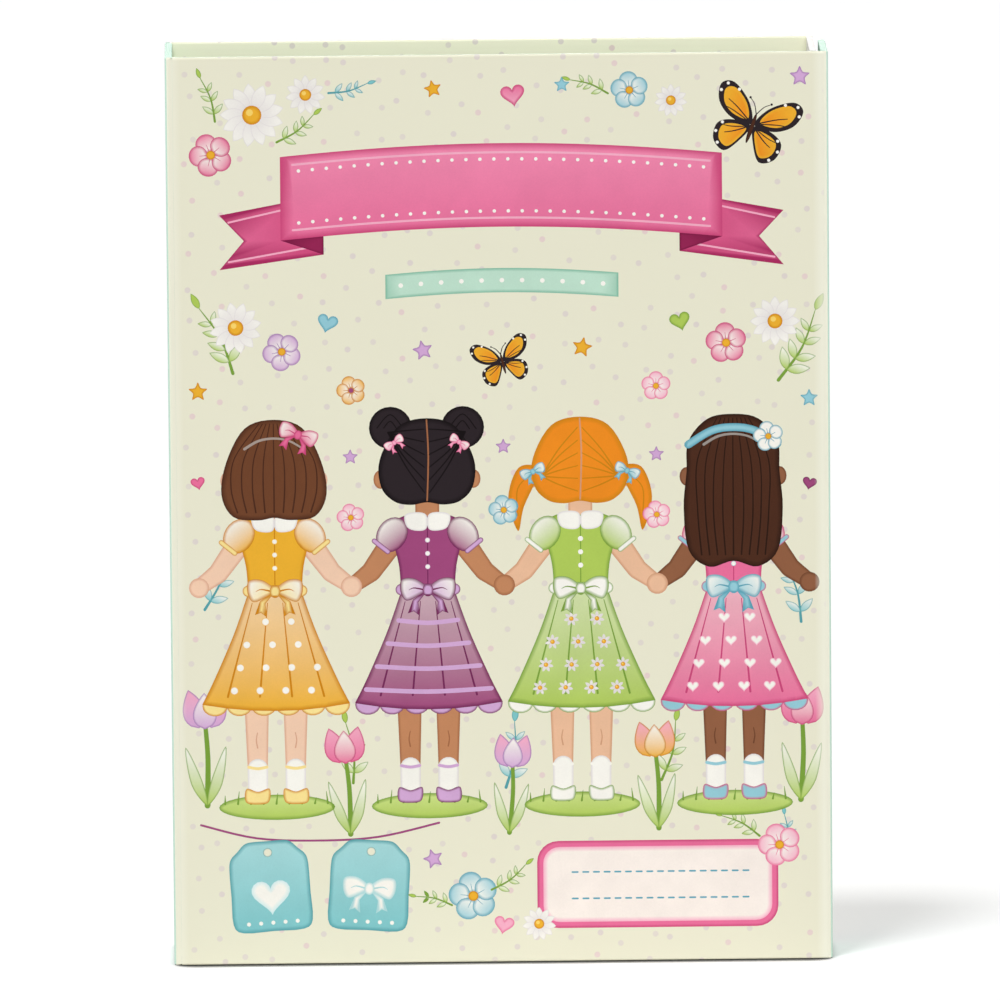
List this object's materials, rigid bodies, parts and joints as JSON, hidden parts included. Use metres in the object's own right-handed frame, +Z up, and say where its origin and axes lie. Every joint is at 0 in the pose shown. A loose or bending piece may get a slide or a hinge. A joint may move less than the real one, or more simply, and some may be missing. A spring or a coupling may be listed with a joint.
{
  "type": "paper doll kit case",
  "caption": "Book-style board case for a paper doll kit, with a hinged printed cover, a magnetic closing flap, and card dolls with tabbed outfits, slot-in stands and press-out sheets inside.",
  "frame": {"origin": "middle of the case's footprint, on the surface it stands on", "axes": "+X right, from the spine to the closing flap; +Y from the front cover to the back; +Z up along the height"},
  "size_m": [0.216, 0.04, 0.3],
  "materials": {
    "grey_board": "matte",
    "cream_paper": "satin laminated print",
    "mint_paper": "satin laminated print",
    "nickel": "nickel plated",
    "steel": "bare",
    "sheet_card": "matte print",
    "doll_card": "matte print",
    "white_card": "matte",
    "dress_card": "matte print",
    "coat_card": "matte print"
  },
  "bodies": {
    "case": {"back_board": "grey_board", "back_wrap": "cream_paper", "back_lining": "cream_paper", "spine_board": "grey_board", "spine_wrap": "mint_paper", "spine_lining": "mint_paper", "back_fold": "mint_paper", "cover_fold": "mint_paper", "fore_wall_board": "grey_board", "fore_wall_wrap": "cream_paper", "bottom_wall_board": "grey_board", "bottom_wall_wrap": "cream_paper", "keeper_discs": "steel"},
    "cover": {"cover_board": "grey_board", "cover_wrap": "cream_paper", "cover_lining": "mint_paper", "flap_fold": "mint_paper"},
    "flap": {"flap_board": "grey_board", "flap_wrap": "mint_paper", "flap_lining": "mint_paper", "flap_magnets": "nickel"},
    "doll_a_stand": {"doll_a_stand": "white_card"},
    "doll_a": {"doll_a": "doll_card", "doll_a_dress": "dress_card"},
    "doll_a_tab_left": {"doll_a_tab_left": "dress_card"},
    "doll_a_tab_right": {"doll_a_tab_right": "dress_card"},
    "doll_b_stand": {"doll_b_stand": "white_card"},
    "doll_b": {"doll_b": "doll_card", "doll_b_coat": "coat_card"},
    "doll_b_tab_left": {"doll_b_tab_left": "coat_card"},
    "doll_b_tab_right": {"doll_b_tab_right": "coat_card"},
    "outfit_sheet_1": {"outfit_sheet_1": "sheet_card"},
    "outfit_sheet_2": {"outfit_sheet_2": "sheet_card"},
    "outfit_sheet_3": {"outfit_sheet_3": "sheet_card"},
    "outfit_sheet_4": {"outfit_sheet_4": "sheet_card"}
  },
  "joints": [
    {"name": "cover_hinge", "type": "hinge", "parent": "case", "child": "cover", "pos_m": [-0.1068, -0.0188, 0.15], "axis": [0, 0, -1], "range_deg": [0, 180]},
    {"name": "flap_hinge", "type": "hinge", "parent": "cover", "child": "flap", "pos_m": [0.1068, -0.0188, 0.15], "axis": [0, 0, -1], "range_deg": [0, 135]},
    {"name": "doll_a_stand_lift", "type": "slide", "parent": "case", "child": "doll_a_stand", "axis": [0, 0, 1], "range_m": [0, 0.3]},
    {"name": "doll_a_lift", "type": "slide", "parent": "doll_a_stand", "child": "doll_a", "axis": [0, 0, 1], "range_m": [0, 0.3]},
    {"name": "doll_a_tab_left_fold", "type": "hinge", "parent": "doll_a", "child": "doll_a_tab_left", "pos_m": [-0.06372, -0.0029, 0.14433], "axis": [1, 0, 0], "range_deg": [0, 170]},
    {"name": "doll_a_tab_right_fold", "type": "hinge", "parent": "doll_a", "child": "doll_a_tab_right", "pos_m": [-0.04363, -0.0029, 0.14433], "axis": [1, 0, 0], "range_deg": [0, 170]},
    {"name": "doll_b_stand_lift", "type": "slide", "parent": "case", "child": "doll_b_stand", "axis": [0, 0, 1], "range_m": [0, 0.3]},
    {"name": "doll_b_lift", "type": "slide", "parent": "doll_b_stand", "child": "doll_b", "axis": [0, 0, 1], "range_m": [0, 0.3]},
    {"name": "doll_b_tab_left_fold", "type": "hinge", "parent": "doll_b", "child": "doll_b_tab_left", "pos_m": [0.04013, -0.0029, 0.14433], "axis": [1, 0, 0], "range_deg": [0, 170]},
    {"name": "doll_b_tab_right_fold", "type": "hinge", "parent": "doll_b", "child": "doll_b_tab_right", "pos_m": [0.06022, -0.0029, 0.14433], "axis": [1, 0, 0], "range_deg": [0, 170]},
    {"name": "outfit_sheet_1_lift", "type": "slide", "parent": "case", "child": "outfit_sheet_1", "axis": [0, 0, 1], "range_m": [0, 0.3]},
    {"name": "outfit_sheet_2_lift", "type": "slide", "parent": "case", "child": "outfit_sheet_2", "axis": [0, 0, 1], "range_m": [0, 0.3]},
    {"name": "outfit_sheet_3_lift", "type": "slide", "parent": "case", "child": "outfit_sheet_3", "axis": [0, 0, 1], "range_m": [0, 0.3]},
    {"name": "outfit_sheet_4_lift", "type": "slide", "parent": "case", "child": "outfit_sheet_4", "axis": [0, 0, 1], "range_m": [0, 0.3]}
  ]
}
